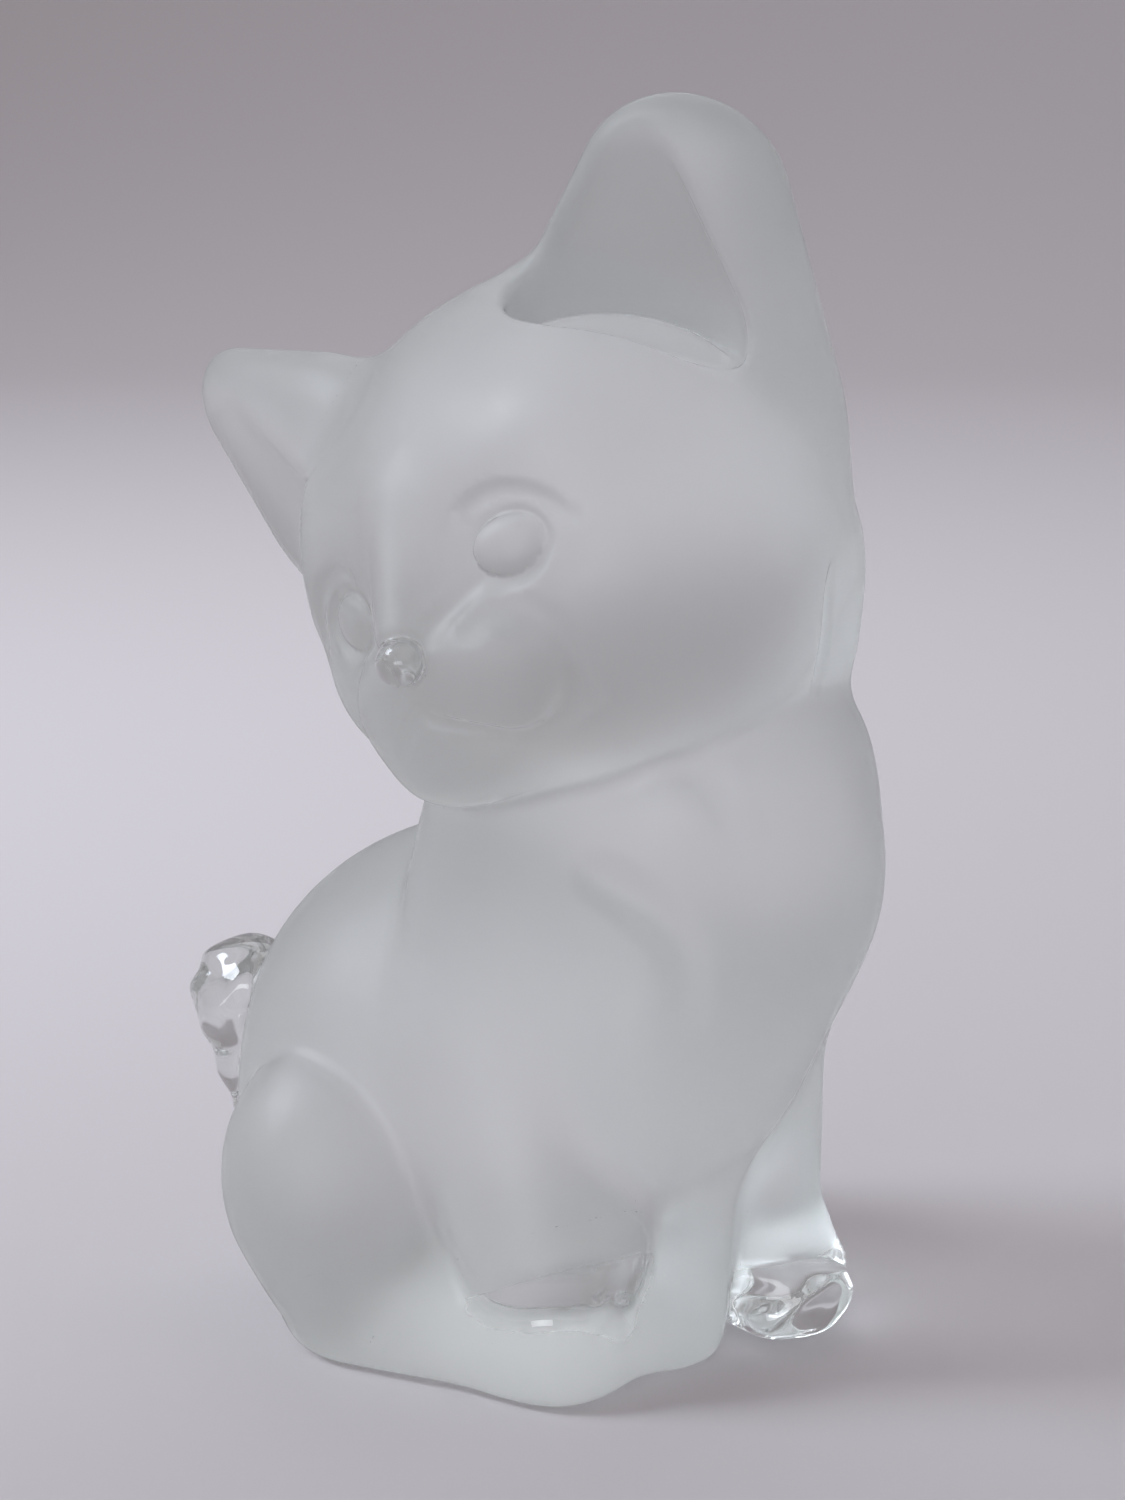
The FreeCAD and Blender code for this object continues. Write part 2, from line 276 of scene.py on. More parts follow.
# ---- where the CAD has the forms ---------------------------------------------------------------
HEAD_TURN, HEAD_TILT, HEAD_NOD = 43.0, 27.0, 2.0      # degrees
HEAD = turn(2, -HEAD_TURN) @ turn(1, -HEAD_TILT) @ turn(0, -HEAD_NOD) @ np.diag([1.0, -1.0, 1.0])
SKULL = np.array([1.8, -2.3, 69.0])


def in_head(left, forward, up):
    """A place given in the head's own left, forward and up from the middle of the skull."""
    return SKULL + HEAD @ np.array([left, forward, up], float)


def head_form(middle, half):
    return ellipsoid(in_head(*middle), half, HEAD)


# Each ear's root and tip with their radii, the way it faces, and its hollow's two ends with their radii.
EARS = {
    "ear_left": {"root": (8.4, -3.0, 80.0), "tip": (9.6, -9.5, 97.4), "root_r": 15.1, "tip_r": 8.8,
                 "faces": (-0.28, -0.95, -0.12),
                 "hollow": ((5.0, -9.5, 86.5), (4.7, -14.4, 102.3), 10.0, 3.0)},
    "ear_right": {"root": (-16.6, 7.2, 70.6), "tip": (-26.0, 14.0, 76.2), "root_r": 13.4, "tip_r": 6.6,
                  "faces": (-0.68, -0.59, -0.40),
                  "hollow": ((-24.8, 1.8, 67.6), (-29.2, 9.1, 75.8), 8.0, 3.2)},
}
EAR_THICK_SHARE, HOLLOW_THICK_SHARE = 0.5, 0.62


def ear_forms(name):
    """An ear's leaf and the hollow in it."""
    ear = EARS[name]
    root, tip = np.array(ear["root"]), np.array(ear["tip"])
    faces = np.array(ear["faces"]) / np.linalg.norm(ear["faces"])
    inward = np.cross(faces, tip - root)
    inward /= np.linalg.norm(inward)
    leaf = round_cone(root, tip, ear["root_r"], ear["tip_r"], EAR_THICK_SHARE,
                      square_axes(tip - root, inward))
    low, high, low_r, high_r = ear["hollow"]
    hollow = round_cone(low, high, low_r, high_r, HOLLOW_THICK_SHARE,
                        square_axes(np.subtract(high, low), inward))
    return leaf, hollow


def outward(left, forward, up):
    """Axes across, out of and up the face at a place on the head, as columns."""
    out = np.array([left, forward, up]) / np.linalg.norm((left, forward, up))
    across = np.cross(out, (0, 0, 1))
    across /= np.linalg.norm(across)
    return HEAD @ np.stack([across, out, np.cross(across, out)], 1)


def face_form(at, half):
    """An ellipsoid that lies on the face at a place given in the head's axes."""
    return ellipsoid(in_head(*at), half, outward(*at))


EYE_MIDDLE = 0.6                         # the eyes' middle line, left of the skull's
EYE = (9.6, 18.9, -2.3)                  # from there to the left eye, in the head's axes
EYE_HALF_DEPTH = 1.4
SOCKET_OUT, SOCKET_RIM, SOCKET_HALF_DEPTH = 1.3, 1.0, 1.6        # past the eye that it holds
NOSE = (0.2, 24.6, -8.0)
NOSE_HALF_DEPTH, NOSE_HEIGHT_SHARE = 1.9, 0.45                   # the share is of its width
HAUNCH_HALF = (9.8, 10.0, 12.0)
TAIL_ROOT_R, TAIL_TIP_R = 5.4, 5.2


def eye_place(side, out=0.0):
    """The middle of an eye in the head's axes, moved out: side is 1 for the left eye, -1 for the right."""
    return EYE_MIDDLE + side * EYE[0], EYE[1] + out, EYE[2]


def eye_form(side, sizes):
    return face_form(eye_place(side), (sizes.eye_width / 2, EYE_HALF_DEPTH, sizes.eye_height / 2))


def socket_form(side, sizes):
    """The moat round an eye."""
    return face_form(eye_place(side, SOCKET_OUT), (
        sizes.eye_width / 2 + SOCKET_RIM, SOCKET_HALF_DEPTH, sizes.eye_height / 2 + SOCKET_RIM))


def nose_form(sizes):
    return head_form(NOSE, (sizes.nose_width / 2, NOSE_HALF_DEPTH, sizes.nose_width * NOSE_HEIGHT_SHARE))


def haunch_form(name):
    low, high = cad_box(name)
    middle = (low[0] + high[0]) / 2, (low[1] + high[1]) / 2, high[2] - HAUNCH_HALF[2]
    return ellipsoid(middle, HAUNCH_HALF)


def tail_form():
    low, high = cad_box("tail")
    root = high[0] - TAIL_ROOT_R, high[1] - TAIL_ROOT_R, low[2] + TAIL_ROOT_R
    tip = low[0] + TAIL_TIP_R, low[1] + TAIL_TIP_R, high[2] - TAIL_TIP_R
    return round_cone(root, tip, TAIL_ROOT_R, TAIL_TIP_R)


# The masses of the head: skull, muzzle, nape, the two cheeks and the jowl.
HEAD_FORMS = [
    head_form((0, 0, 0), (22.5, 21.5, 22.3)),
    head_form((0, 12.6, -9.6), (11.5, 10.8, 8.2)),
    ellipsoid((12.6, 2.5, 59.2), (12.2, 11.5, 11.5)),
    head_form((12.0, 6.0, -6.0), (9.5, 11.0, 9.0)),
    head_form((-12.0, 6.0, -6.0), (9.5, 11.0, 9.0)),
    ellipsoid((13.2, 1.0, 66.5), (11.6, 12.0, 9.0)),
]
SKULL_FORM, MUZZLE, NAPE, CHEEKS, JOWL = *HEAD_FORMS[:3], HEAD_FORMS[3:5], HEAD_FORMS[5]
FOREHEAD = ellipsoid((3.5, -10.0, 80.0), (12.0, 8.5, 8.3))       # rises into the big ear's hollow

# The masses of the body and its limbs.
THROAT = ellipsoid((10.0, -5.0, 48.5), (12.5, 13.5, 9.5))
RIGHT_FOOT = round_cone((-16.0, -9.0, 3.8), (-0.7, -18.9, 3.7), 6.5, 4.8)
INSTEP = round_cone((-0.5, -17.0, 2.0), (7.6, -11.4, 2.4), 4.4, 4.2)
LEFT_FOOT = round_cone((1.5, 15.0, 3.8), (13.5, 5.0, 3.8), 6.5, 4.8)
RIGHT_ELBOW, RIGHT_WRIST = np.array([-5.5, -8.0, 28.0]), np.array([-0.8, -15.5, 11.6])
RIGHT_LEG = round_cone(RIGHT_ELBOW, RIGHT_WRIST, 10.0, 7.7)
RIGHT_TOES = [rippled(ellipsoid(RIGHT_WRIST + np.array(way), (2.9, 2.9, 2.9)), 6.0, 0.25)
              for way in ((-3.4, -2.0, -4.1), (-0.2, -3.2, -4.6), (3.2, -2.7, -3.9))]
LEFT_WRIST = np.array([17.3, -3.0, 9.0])
LEFT_LEG = round_cone((15.5, -1.0, 26.0), LEFT_WRIST, 7.0, 4.9)
LEFT_PAW = rippled(ellipsoid((19.0, -3.5, 4.4), (5.5, 5.6, 5.2)), 10.0, 0.4)
LEFT_TOES = rippled(ellipsoid((19.2, -5.1, 3.2), (5.7, 5.6, 4.4)), 10.0, 0.4)
WEB = round_cone((8.2, -10.6, 3.4), (9.8, -7.2, 15.0), 5.6, 5.1)
UPPER_ARM = round_cone(RIGHT_ELBOW, (-2.0, -6.5, 46.0), 10.0, 9.2)
WITHERS = ellipsoid((12.5, 2.0, 49.0), (13.3, 13.0, 11.0))
BACK = ellipsoid((-5.0, 4.0, 22.0), (22.7, 20.0, 21.0))
RUMP = ellipsoid((-12.0, 7.0, 13.0), (15.0, 15.0, 14.0))
SHOULDERS = ellipsoid((8.3, 0.0, 40.0), (19.2, 18.0, 19.0))
CHEST = ellipsoid((8.0, -5.5, 33.5), (15.2, 15.0, 22.3), square_axes((0.24, 0.22, 1), (1, 0, 0)))
SEAT = ellipsoid((-6.0, 0.0, 4.0), (20.0, 15.0, 8.0))


def left_forelimb(p):
    """The standing foreleg with its paw."""
    return melt(melt(LEFT_LEG(p), LEFT_PAW(p), 4.0), LEFT_TOES(p), 1.5)


def right_forelimb(p):
    """The lifted foreleg with its three toes."""
    d = RIGHT_LEG(p)
    for toe in RIGHT_TOES:
        d = melt(d, toe(p), 0.8)
    return d


def torso_field(p):
    """Hindquarters and forequarters, each one rounded mass, with a crease where they meet."""
    hind = melt(melt(BACK(p), RUMP(p), 7.0), SEAT(p), 5.0)
    fore = melt(melt(SHOULDERS(p), CHEST(p), 3.0), WITHERS(p), 4.0)
    fore = melt(melt(fore, THROAT(p), 4.0), UPPER_ARM(p), 5.0)
    return melt(melt(melt(hind, fore, 1.6), WEB(p), 4.0), INSTEP(p), 3.0)


def limbs():
    """Every limb of the body, with how softly it melts into it."""
    return {
        "haunch_right": (haunch_form("haunch_right"), 0.8),
        "haunch_left": (haunch_form("haunch_left"), 4.0),
        "hind_foot_right": (RIGHT_FOOT, 6.0),
        "hind_foot_left": (LEFT_FOOT, 2.5),
        "foreleg_left": (left_forelimb, 2.4),
        "foreleg_right": (right_forelimb, 2.0),
        "tail": (rippled(tail_form(), 10.0, 0.35), 1.5),
    }


def plain_head():
    """The head's masses, before its ears, eyes and the lines of its face."""
    brows = [head_form((s * 11.5, 9.5, 5.0), (9.0, 9.0, 7.0)) for s in (1, -1)]
    hollows = [head_form((s * 10.4, 26.0, -2.2), (5.0, 5.4, 4.2)) for s in (1, -1)]
    bridge = round_cone(in_head(0, 18.5, 4.0), in_head(0, 23.4, -5.6), 2.6, 1.8)
    chin = head_form((-4.6, 16.6, -15.0), (5.6, 5.0, 4.2))
    pads = [face_form((s * 5.4, 19.7, -11.2), (5.0, 3.2, 4.4)) for s in (1, -1)]

    def field(p):
        d = melt(SKULL_FORM(p), MUZZLE(p), 6.0)
        for form in CHEEKS + brows:
            d = melt(d, form(p), 5.0)
        for form in hollows:
            d = carve(d, form(p), 4.0)
        d = melt(melt(d, bridge(p), 3.0), chin(p), 4.0)
        for form in pads:
            d = melt(d, form(p), 2.4)
        return melt(melt(d, JOWL(p), 4.0), NAPE(p), 4.0)
    return field


# Lines of the face, in the head's own left, forward and up: path, radius, depth, softness, and whether the
# other half of the face has the same one.
FACE_LINES = {
    "upper lid": (((7.0, 20.0, 0.9), (9.1, 19.3, 2.0), (12.4, 18.4, 1.3), (14.3, 17.5, -0.6),
                   (15.5, 17.0, -2.0)), 0.8, 0.4, 0.7, True),
    "tear line": (((6.2, 20.4, -4.5), (4.6, 21.6, -5.7), (2.7, 23.0, -7.2)), 1.0, 0.45, 0.8, True),
    "mouth, left": (((-0.8, 22.8, -12.1), (0.8, 22.1, -13.4), (2.9, 21.2, -14.7), (4.6, 18.9, -16.2)),
                    0.75, 0.6, 0.5, False),
    "mouth, right": (((-0.8, 22.8, -12.1), (-2.8, 23.0, -13.0), (-5.0, 22.3, -14.2)), 0.75, 0.3, 0.5, False),
    "cheek fold": (((4.6, 18.9, -16.2), (6.7, 17.2, -15.8), (9.6, 15.3, -14.8)), 1.0, 0.35, 1.0, False),
    "whisker pad": (((6.8, 22.6, -7.6), (9.4, 20.8, -7.6), (11.2, 19.2, -10.0), (10.9, 17.7, -12.9),
                     (8.4, 17.1, -15.2)), 1.3, 0.4, 1.4, False),
    "nape fold": (((18.7, -6.4, -10.6), (16.7, -6.9, -13.2), (13.3, -8.7, -15.7), (10.0, -10.0, -18.3)),
                  1.0, 0.5, 0.6, False),
}


def head_field(sizes):
    """The head with everything on it."""
    masses = plain_head()
    lines = [(furrow(masses, [in_head(s * a, b, c) for a, b, c in path], radius, depth), soft)
             for path, radius, depth, soft, both in FACE_LINES.values() for s in ((1, -1) if both else (1,))]
    sockets = [socket_form(s, sizes) for s in (1, -1)]
    eyes = [eye_form(s, sizes) for s in (1, -1)]
    ears = [ear_forms(name) for name in EARS]
    nose = nose_form(sizes)

    def field(p):
        d = masses(p)
        for form, soft in lines:
            d = carve(d, form(p), soft)
        for form in sockets:
            d = carve(d, form(p), 0.6)
        for form in eyes:
            d = melt(d, form(p), 0.3)
        d = melt(d, nose(p), 0.4)
        for leaf, hollow in ears:
            d = carve(melt(d, leaf(p), 3.0), hollow(p), 1.2)
        return melt(d, FOREHEAD(p), 1.6)
    return field


# Shallow folds of the chest's fur, below the turned head.
CHEST_FOLDS = [((10.2, -17.1, 53.0), (13.0, -18.0, 50.4), (14.7, -18.0, 47.0)),
               ((3.0, -18.0, 43.7), (6.2, -18.9, 41.9), (9.0, -19.8, 38.8), (10.3, -20.4, 34.3))]
FOLD_R, FOLD_DEPTH, FOLD_EDGE = 2.0, 0.45, 1.6
GROUND_EDGE = 1.2         # easing of the edge round the ground underside


def figure_field(sizes):
    """The whole casting, ground flat underneath with its edge eased."""
    head, attached = head_field(sizes), list(limbs().values())
    folds = [furrow(torso_field, path, FOLD_R, FOLD_DEPTH) for path in CHEST_FOLDS]

    def field(p):
        d = torso_field(p)
        for form in folds:
            d = carve(d, form(p), FOLD_EDGE)
        for form, soft in attached:
            d = melt(d, form(p), soft)
        d = melt(d, head(p), 2.0)
        return carve(d, p[..., 2], GROUND_EDGE)
    return field


# ---- zones: what each piece takes of the casting -----------------------------------------------
RIGHT_LEG_RUNS = ((RIGHT_WRIST - RIGHT_ELBOW) / np.linalg.norm(RIGHT_WRIST - RIGHT_ELBOW)).astype(np.float32)
RIGHT_CUFF = 0.5                          # above the wrist's middle
LEFT_CUFF, LEFT_CUFF_SLOPE = 9.4, 0.14    # height, and its rise towards the outside


def past_right_cuff(p):
    """How far a point lies on the toes' side of the line where the right foreleg turns clear."""
    return (p - RIGHT_WRIST.astype(np.float32)) @ RIGHT_LEG_RUNS + np.float32(RIGHT_CUFF)


def past_left_cuff(p):
    """How far a point lies on the paw's side of the line where the left foreleg turns clear."""
    return LEFT_CUFF + LEFT_CUFF_SLOPE * (p[..., 0] - np.float32(LEFT_WRIST[0])) - p[..., 2]


def cuffed(form, past_cuff):
    """The part of a limb that lies past its cuff."""
    return lambda p: np.maximum(form(p), -past_cuff(p))


def head_zone(p):
    """The skull with its cheeks, muzzle and nape, down to the crease where it sits on the body."""
    d = SKULL_FORM(p)
    for form in HEAD_FORMS[1:]:
        d = melt(d, form(p), 4.0)
    return d


# How far outside a form the polish ends, and over how long it fades out there.
NOSE_POLISH, TAIL_POLISH, LIMB_POLISH = (0.36, 0.4), (0.8, 0.5), (1.5, 0.6)
# Each polished limb, how far past its cuff the etching starts to thin, and over how long it does.
CLEAR_LIMBS = ((right_forelimb, past_right_cuff, 1.0, 4.5), (left_forelimb, past_left_cuff, 1.0, 3.0))


def faded(distance, end, fade):
    """1 up to a distance, then falling to 0 at its end."""
    return np.clip((end - distance) / fade, 0, 1)


def polish(p, sizes):
    """From 0, etched, to 1, polished, with the etching fading out over the cuffs' width."""
    found = np.maximum(faded(nose_form(sizes)(p), *NOSE_POLISH), faded(tail_form()(p), *TAIL_POLISH))
    for form, past_cuff, start, fade in CLEAR_LIMBS:
        past = np.clip((past_cuff(p) - start) / fade, 0, 1)
        found = np.maximum(found, faded(form(p), *LIMB_POLISH) * past)
    return found * found * (3 - 2 * found)


# ---- skin: a field's surface as a mesh ---------------------------------------------------------
BLOCK = 4                 # samples along one side of a block that is either looked at closely or skipped
EDGE = 3.0                # samples past the surface that the skin is drawn from
SKIN_ROOM = 4.0           # looked at round the CAD box, in millimetres


def skin(field, step):
    """Points and four-sided faces of the surface where the field is nought, in millimetres."""
    step = np.float32(step)
    low = (CAD_LOW - SKIN_ROOM).astype(np.float32)
    count = np.ceil((CAD_HIGH + SKIN_ROOM - low) / (step * BLOCK)).astype(int)
    blocks = np.indices(count).reshape(3, -1).T
    rough = field(low + (blocks + 0.5).astype(np.float32) * BLOCK * step)
    room = BLOCK * step * 2
    kept = rough < room
    blocks, rough = blocks[kept], rough[kept]
    first = blocks.min(0)
    blocks = blocks - first
    low = low + first.astype(np.float32) * BLOCK * step
    values = np.full(blocks.max(0) + 1, EDGE, np.float32)
    values[tuple(blocks.T)] = -EDGE
    for axis in range(3):
        values = values.repeat(BLOCK, axis)
    near = blocks[rough > -room] * BLOCK
    at = (near[:, None] + np.indices((BLOCK,) * 3).reshape(3, -1).T).reshape(-1, 3)
    values[tuple(at.T)] = field(low + at.astype(np.float32) * step) / step
    grid = openvdb.FloatGrid(background=EDGE)
    grid.copyFromArray(np.clip(values, -EDGE, EDGE))
    points, _, faces = grid.convertToPolygons(isovalue=0.0, adaptivity=0.0)
    return settle(field, points.astype(np.float32) * step + low), faces


def new_object(name, mesh):
    made = bpy.data.objects.new(name, mesh)
    bpy.context.scene.collection.objects.link(made)
    return made


def skin_object(name, field, step, material):
    points, faces = skin(field, step)
    mesh = bpy.data.meshes.new(name)
    mesh.from_pydata((points * MM).tolist(), [], faces.tolist())
    mesh.materials.append(material)
    return new_object(name, mesh)


def remove(thing):
    mesh = thing.data
    bpy.data.objects.remove(thing)
    bpy.data.meshes.remove(mesh)


# ---- materials ---------------------------------------------------------------------------------
def add(tree, kind, inputs=(), **settings):
    """A new node: settings are its properties, inputs are (socket, value or another node's output)."""
    made = tree.nodes.new(kind)
    for name, value in settings.items():
        setattr(made, name, value)
    for socket, value in inputs:
        if isinstance(value, bpy.types.NodeSocket):
            tree.links.new(value, made.inputs[socket])
        else:
            made.inputs[socket].default_value = value
    return made


def new_material(name):
    made = bpy.data.materials.new(name)
    made.use_nodes = True
    made.node_tree.nodes.clear()
    return made


def fused_joint():
    """Where two pieces are one glass: nothing shows, so light runs straight through."""
    made = bpy.data.materials.get("fused_joint")
    if made is None:
        made = new_material("fused_joint")
        shader = add(made.node_tree, "ShaderNodeBsdfPrincipled", [("Alpha", 0.0)])
        add(made.node_tree, "ShaderNodeOutputMaterial", [("Surface", shader.outputs[0])])
    return made


CRYSTAL_IOR = 1.545
CLOUD = 9 * MM            # across one patch where the acid bit more or less
CLOUD_BLUR = -0.04, 0.05  # what the clouds take from the roughness and add to it
ETCH_DEPTH = 0.004 * MM


def lead_crystal(name):
    """Lead crystal, 24% lead oxide, cast and then dipped in acid but for the masked, polished places.

    The etching is a fine satin grain that blurs what shows through it and gives the rims a soft glow.
    The polished places are clear and bend the light sharply, with slow waves left by the mould.
    """
    made = bpy.data.materials.get(name)
    if made is not None:
        return made
    finish = bpy.context.scene.kitten_finish
    made = new_material(name)
    tree = made.node_tree
    place = add(tree, "ShaderNodeTexCoord").outputs["Object"]
    polished = add(tree, "ShaderNodeAttribute", attribute_name="polish").outputs["Fac"]
    cloud = add(tree, "ShaderNodeTexNoise", [("Vector", place), ("Scale", 1 / CLOUD), ("Detail", 3.0)])
    uneven = add(tree, "ShaderNodeMapRange", [
        ("Value", cloud.outputs[0]), ("From Min", 0.3), ("From Max", 0.7),
        ("To Min", finish.frosted_roughness + CLOUD_BLUR[0]),
        ("To Max", finish.frosted_roughness + CLOUD_BLUR[1])])
    roughness = add(tree, "ShaderNodeMix", [
        (0, polished), (2, uneven.outputs[0]), (3, finish.polished_roughness)])
    clarity = add(tree, "ShaderNodeMix", [(0, polished), (2, finish.frosted_clarity), (3, 1.0)])
    grain = add(tree, "ShaderNodeTexNoise", [
        ("Vector", place), ("Scale", 1 / finish.etch_grain), ("Detail", 2.0), ("Roughness", 0.6)])
    etched = add(tree, "ShaderNodeMath", [(0, 1.0), (1, polished)], operation="SUBTRACT")
    bump = add(tree, "ShaderNodeBump", [
        ("Height", grain.outputs[0]), ("Strength", etched.outputs[0]), ("Distance", ETCH_DEPTH)])
    shader = add(tree, "ShaderNodeBsdfPrincipled", [
        ("Base Color", (*finish.glass_tint, 1.0)), ("IOR", CRYSTAL_IOR),
        ("Transmission Weight", clarity.outputs[0]), ("Roughness", roughness.outputs[0]),
        ("Normal", bump.outputs[0])])
    add(tree, "ShaderNodeOutputMaterial", [("Surface", shader.outputs[0])])
    return made


# ---- parting the casting into pieces -----------------------------------------------------------
CASTING = "whole_casting"
MATERIAL_OF = {"frosted_glass": "acid_etched_lead_crystal", "clear_glass": "fire_polished_lead_crystal"}
CLEAR_NODES = ("nose", "forepaw_right", "forepaw_left", "tail")


def boolean(base, cutter, operation):
    """The mesh left of base by a cutter; faces that the cutter makes take the cutter's material."""
    modifier = base.modifiers.new("parting", "BOOLEAN")
    modifier.object, modifier.operation = cutter, operation
    modifier.solver, modifier.material_mode = "MANIFOLD", "TRANSFER"
    found = bpy.data.meshes.new_from_object(base.evaluated_get(bpy.context.evaluated_depsgraph_get()))
    base.modifiers.remove(modifier)
    if not found.polygons:
        raise RuntimeError(f"{operation} with {cutter.name} left nothing of {base.name}")
    return found


def casting():
    """What is left of the whole figure."""
    if CASTING not in bpy.data.objects:
        raise RuntimeError("The figure is cast before its pieces are parted")
    return bpy.data.objects[CASTING]


def finished(node, mesh):
    """A parted mesh as a piece of glass, true to the casting's curves and marked where it is polished."""
    sizes = bpy.context.scene.kitten_sizes
    points = np.empty(len(mesh.vertices) * 3, np.float32)
    mesh.vertices.foreach_get("co", points)
    points = points.reshape(-1, 3) / np.float32(MM)
    normals = uphill(figure_field(sizes), points)
    normals /= np.maximum(np.linalg.norm(normals, axis=1), TINY)[:, None]
    mesh.shade_smooth()
    mesh.normals_split_custom_set_from_vertices(normals.tolist())
    marked = mesh.attributes.new("polish", "FLOAT", "POINT")
    marked.data.foreach_set("value", polish(points, sizes).astype(np.float32))
    slot = "clear_glass" if node in CLEAR_NODES else "frosted_glass"
    mesh.name = node + "_glass"
    mesh.materials[0] = lead_crystal(MATERIAL_OF[slot])
    piece = new_object(mesh.name, mesh)
    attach(piece, "root")
    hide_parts(node)


def part_off(node, zone):
    """Parts off what a zone holds of the casting, and finishes it as the piece for a CAD node."""
    sizes, whole = bpy.context.scene.kitten_sizes, casting()
    cutter = skin_object(node + "_zone", lambda p: zone(p) - sizes.joint_reach, sizes.joint_step,
                         fused_joint())
    taken = boolean(whole, cutter, "INTERSECT")
    rest = boolean(whole, cutter, "DIFFERENCE")
    remove(cutter)
    old, whole.data = whole.data, rest
    bpy.data.meshes.remove(old)
    finished(node, taken)


# ---- operators ---------------------------------------------------------------------------------
class KITTEN_OT_cast(bpy.types.Operator):
    """Cast the whole figure as one skin"""
    bl_idname = "kitten.cast"
    bl_label = "Cast Figure"
    bl_options = {"REGISTER", "UNDO"}

    def execute(self, context):
        sizes = context.scene.kitten_sizes
        whole = skin_object(CASTING, figure_field(sizes), sizes.mesh_step,
                            lead_crystal(MATERIAL_OF["frosted_glass"]))
        whole.data.materials.append(fused_joint())
        return {"FINISHED"}


class KITTEN_OT_nose(bpy.types.Operator):
    """Part off the polished nose"""
    bl_idname = "kitten.nose"
    bl_label = "Part Nose"
    bl_options = {"REGISTER", "UNDO"}

    def execute(self, context):
        part_off("nose", nose_form(context.scene.kitten_sizes))
        return {"FINISHED"}


class KITTEN_OT_eyes(bpy.types.Operator):
    """Part off the two raised eyes"""
    bl_idname = "kitten.eyes"
    bl_label = "Part Eyes"
    bl_options = {"REGISTER", "UNDO"}

    def execute(self, context):
        for node, side in (("eye_left", 1), ("eye_right", -1)):
            part_off(node, eye_form(side, context.scene.kitten_sizes))
        return {"FINISHED"}


class KITTEN_OT_forepaws(bpy.types.Operator):
    """Part off the two polished forepaws at their cuffs"""
    bl_idname = "kitten.forepaws"
    bl_label = "Part Forepaws"
    bl_options = {"REGISTER", "UNDO"}

    def execute(self, context):
        part_off("forepaw_right", cuffed(right_forelimb, past_right_cuff))
        part_off("forepaw_left", cuffed(left_forelimb, past_left_cuff))
        return {"FINISHED"}


class KITTEN_OT_tail(bpy.types.Operator):
    """Part off the polished tail"""
    bl_idname = "kitten.tail"
    bl_label = "Part Tail"
    bl_options = {"REGISTER", "UNDO"}

    def execute(self, context):
        part_off("tail", tail_form())
        return {"FINISHED"}


class KITTEN_OT_ears(bpy.types.Operator):
    """Part off the two ears with their roots"""
    bl_idname = "kitten.ears"
    bl_label = "Part Ears"
    bl_options = {"REGISTER", "UNDO"}

    def execute(self, context):
        for node in EARS:
            leaf, _ = ear_forms(node)
            part_off(node, leaf)
        return {"FINISHED"}


class KITTEN_OT_limbs(bpy.types.Operator):
    """Part off the forelegs, hind feet and haunches"""
    bl_idname = "kitten.limbs"
    bl_label = "Part Limbs"
    bl_options = {"REGISTER", "UNDO"}

    def execute(self, context):
        forms = limbs()
        for node in ("foreleg_right", "foreleg_left", "hind_foot_right", "hind_foot_left",
                     "haunch_right", "haunch_left"):
            part_off(node, forms[node][0])
        return {"FINISHED"}


class KITTEN_OT_head(bpy.types.Operator):
    """Part off the head"""
    bl_idname = "kitten.head"
    bl_label = "Part Head"
    bl_options = {"REGISTER", "UNDO"}

    def execute(self, context):
        part_off("head", head_zone)
        return {"FINISHED"}


class KITTEN_OT_torso(bpy.types.Operator):
    """Finish what is left of the casting as the torso"""
    bl_idname = "kitten.torso"
    bl_label = "Finish Torso"
    bl_options = {"REGISTER", "UNDO"}

    def execute(self, context):
        whole = casting()
        mesh = whole.data
        bpy.data.objects.remove(whole)
        finished("torso", mesh)
        return {"FINISHED"}


# ---- stage -------------------------------------------------------------------------------------
PAPER_TOOTH, PAPER_TOOTH_DEPTH = 0.8 * MM, 0.01 * MM
PAPER_GAP = 0.1 * MM      # air under the ground foot, as under any glass that only rests on its sheet
LIGHT_TURNS = 32          # light turns this often in solid glass before it is lost
CAMERA_LENS, CAMERA_SENSOR = 92.16, 36.0                                # millimetres
CAMERA_RISE, CAMERA_TARGET, CAMERA_DISTANCE = 14.0, 0.050, 0.325        # degrees, then metres


def paper_material(stage):
    """Seamless background paper, uncoated: matt, with a faint fibre tooth."""
    made = new_material("seamless_paper")
    tree = made.node_tree
    place = add(tree, "ShaderNodeTexCoord").outputs["Object"]
    tooth = add(tree, "ShaderNodeTexNoise", [("Vector", place), ("Scale", 1 / PAPER_TOOTH), ("Detail", 2.0)])
    bump = add(tree, "ShaderNodeBump", [("Height", tooth.outputs[0]), ("Distance", PAPER_TOOTH_DEPTH)])
    shader = add(tree, "ShaderNodeBsdfPrincipled", [
        ("Base Color", (*stage.paper, 1.0)), ("Roughness", 0.9), ("Specular IOR Level", 0.2),
        ("Normal", bump.outputs[0])])
    add(tree, "ShaderNodeOutputMaterial", [("Surface", shader.outputs[0])])
    return made


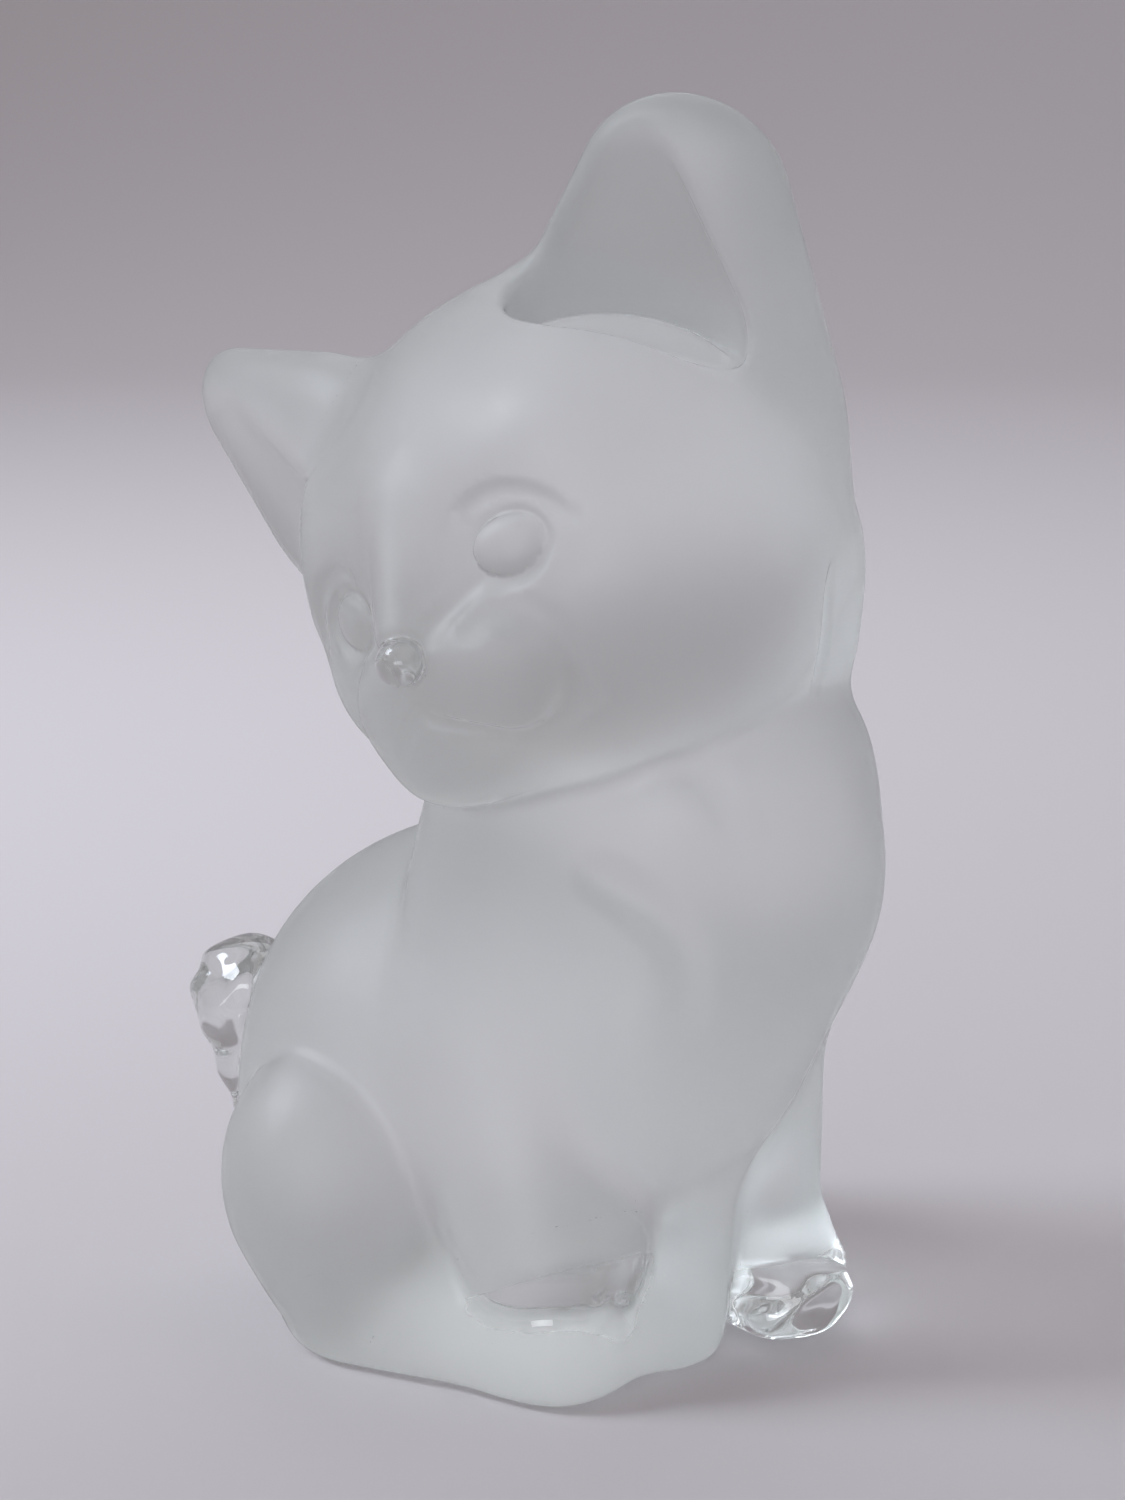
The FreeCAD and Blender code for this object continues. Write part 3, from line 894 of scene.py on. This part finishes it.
def paper_mesh():
    """A sheet that lies flat, then sweeps up behind the figure."""
    front, bend, rise, half_width, radius, steps = -0.9, 0.55, 1.3, 1.2, 0.30, 24
    line = [(front, 0.0), (bend, 0.0)]
    for i in range(1, steps + 1):
        angle = np.radians(90 * i / steps)
        line.append((bend + radius * np.sin(angle), radius * (1 - np.cos(angle))))
    line.append((bend + radius, rise))
    points = [(x, y, z) for y, z in line for x in (-half_width, half_width)]
    faces = [(i, i + 1, i + 3, i + 2) for i in range(0, len(points) - 2, 2)]
    mesh = bpy.data.meshes.new("paper_sweep")
    mesh.from_pydata(points, [], faces)
    mesh.shade_smooth()
    return mesh


def soft_light(name, at, towards, size, spread, power, colour):
    """A soft box: size is its width and height in metres, spread the angle in degrees that it lights."""
    light = bpy.data.lights.new(name, "AREA")
    light.shape = "RECTANGLE"
    light.size, light.size_y = size
    light.spread, light.energy, light.color = np.radians(spread), power, colour
    made = bpy.data.objects.new(name, light)
    made.location = at
    made.rotation_euler = (Vector(towards) - Vector(at)).to_track_quat("-Z", "Y").to_euler()
    bpy.context.scene.collection.objects.link(made)


class KITTEN_OT_stage(bpy.types.Operator):
    """Lay the paper, hang the lights and set up the camera"""
    bl_idname = "kitten.stage"
    bl_label = "Set Stage"
    bl_options = {"REGISTER", "UNDO"}

    def execute(self, context):
        scene, stage = context.scene, context.scene.kitten_stage
        paper = new_object("paper_sweep", paper_mesh())
        paper.data.materials.append(paper_material(stage))
        paper.location.z = -PAPER_GAP

        scene.world = bpy.data.worlds.new("room_light")
        scene.world.use_nodes = True
        background = scene.world.node_tree.nodes["Background"]
        background.inputs["Color"].default_value = (*stage.sky_colour, 1.0)
        background.inputs["Strength"].default_value = stage.sky

        soft_light("window_left", (-0.60, 0.02, 0.50), (-0.02, 0.22, 0.0), (0.30, 0.30), 70,
                   stage.window_power, stage.window_colour)
        soft_light("skylight", (0.0, 0.45, 0.50), (0.0, 0.06, 0.0), (0.70, 0.35), 140,
                   stage.skylight_power, stage.bounced_colour)
        soft_light("front_fill", (-0.25, -0.70, 0.08), (0.0, 0.0, 0.05), (0.50, 0.30), 70,
                   stage.fill_power, stage.bounced_colour)

        camera = bpy.data.objects.new("camera", bpy.data.cameras.new("camera"))
        camera.data.lens, camera.data.sensor_width = CAMERA_LENS, CAMERA_SENSOR
        rise = np.radians(CAMERA_RISE)
        target = Vector((0, 0, CAMERA_TARGET))
        camera.location = target + CAMERA_DISTANCE * Vector((0, -np.cos(rise), np.sin(rise)))
        camera.rotation_euler = (target - camera.location).to_track_quat("-Z", "Y").to_euler()
        scene.collection.objects.link(camera)
        scene.camera = camera

        scene.view_settings.view_transform = "Standard"
        cycles = scene.cycles
        cycles.max_bounces = cycles.transmission_bounces = cycles.transparent_max_bounces = LIGHT_TURNS
        return {"FINISHED"}


class KITTEN_PT_panel(bpy.types.Panel):
    """The kitten's sizes, finish and stage, and the steps that make it"""
    bl_idname = "KITTEN_PT_panel"
    bl_label = "Crystal Kitten"
    bl_space_type = "VIEW_3D"
    bl_region_type = "UI"
    bl_category = "Kitten"

    def draw(self, context):
        scene = context.scene
        for group in (scene.kitten_sizes, scene.kitten_finish, scene.kitten_stage):
            box = self.layout.box()
            for name in group.__annotations__:
                box.prop(group, name)
        for operator in OPERATORS:
            self.layout.operator(operator.bl_idname)


GROUPS = (KittenSizes, KittenFinish, KittenStage)
OPERATORS = (KITTEN_OT_cast, KITTEN_OT_nose, KITTEN_OT_eyes, KITTEN_OT_forepaws, KITTEN_OT_tail,
             KITTEN_OT_ears, KITTEN_OT_limbs, KITTEN_OT_head, KITTEN_OT_torso, KITTEN_OT_stage)


def register():
    for cls in GROUPS + OPERATORS + (KITTEN_PT_panel,):
        bpy.utils.register_class(cls)
    bpy.types.Scene.kitten_sizes = PointerProperty(type=KittenSizes)
    bpy.types.Scene.kitten_finish = PointerProperty(type=KittenFinish)
    bpy.types.Scene.kitten_stage = PointerProperty(type=KittenStage)


def unregister():
    del bpy.types.Scene.kitten_sizes, bpy.types.Scene.kitten_finish, bpy.types.Scene.kitten_stage
    for cls in reversed(GROUPS + OPERATORS + (KITTEN_PT_panel,)):
        bpy.utils.unregister_class(cls)


def main():
    register()
    for step in (bpy.ops.kitten.cast, bpy.ops.kitten.nose, bpy.ops.kitten.eyes, bpy.ops.kitten.forepaws,
                 bpy.ops.kitten.tail, bpy.ops.kitten.ears, bpy.ops.kitten.limbs, bpy.ops.kitten.head,
                 bpy.ops.kitten.torso, bpy.ops.kitten.stage):
        step()


if __name__ == "__main__":
    main()
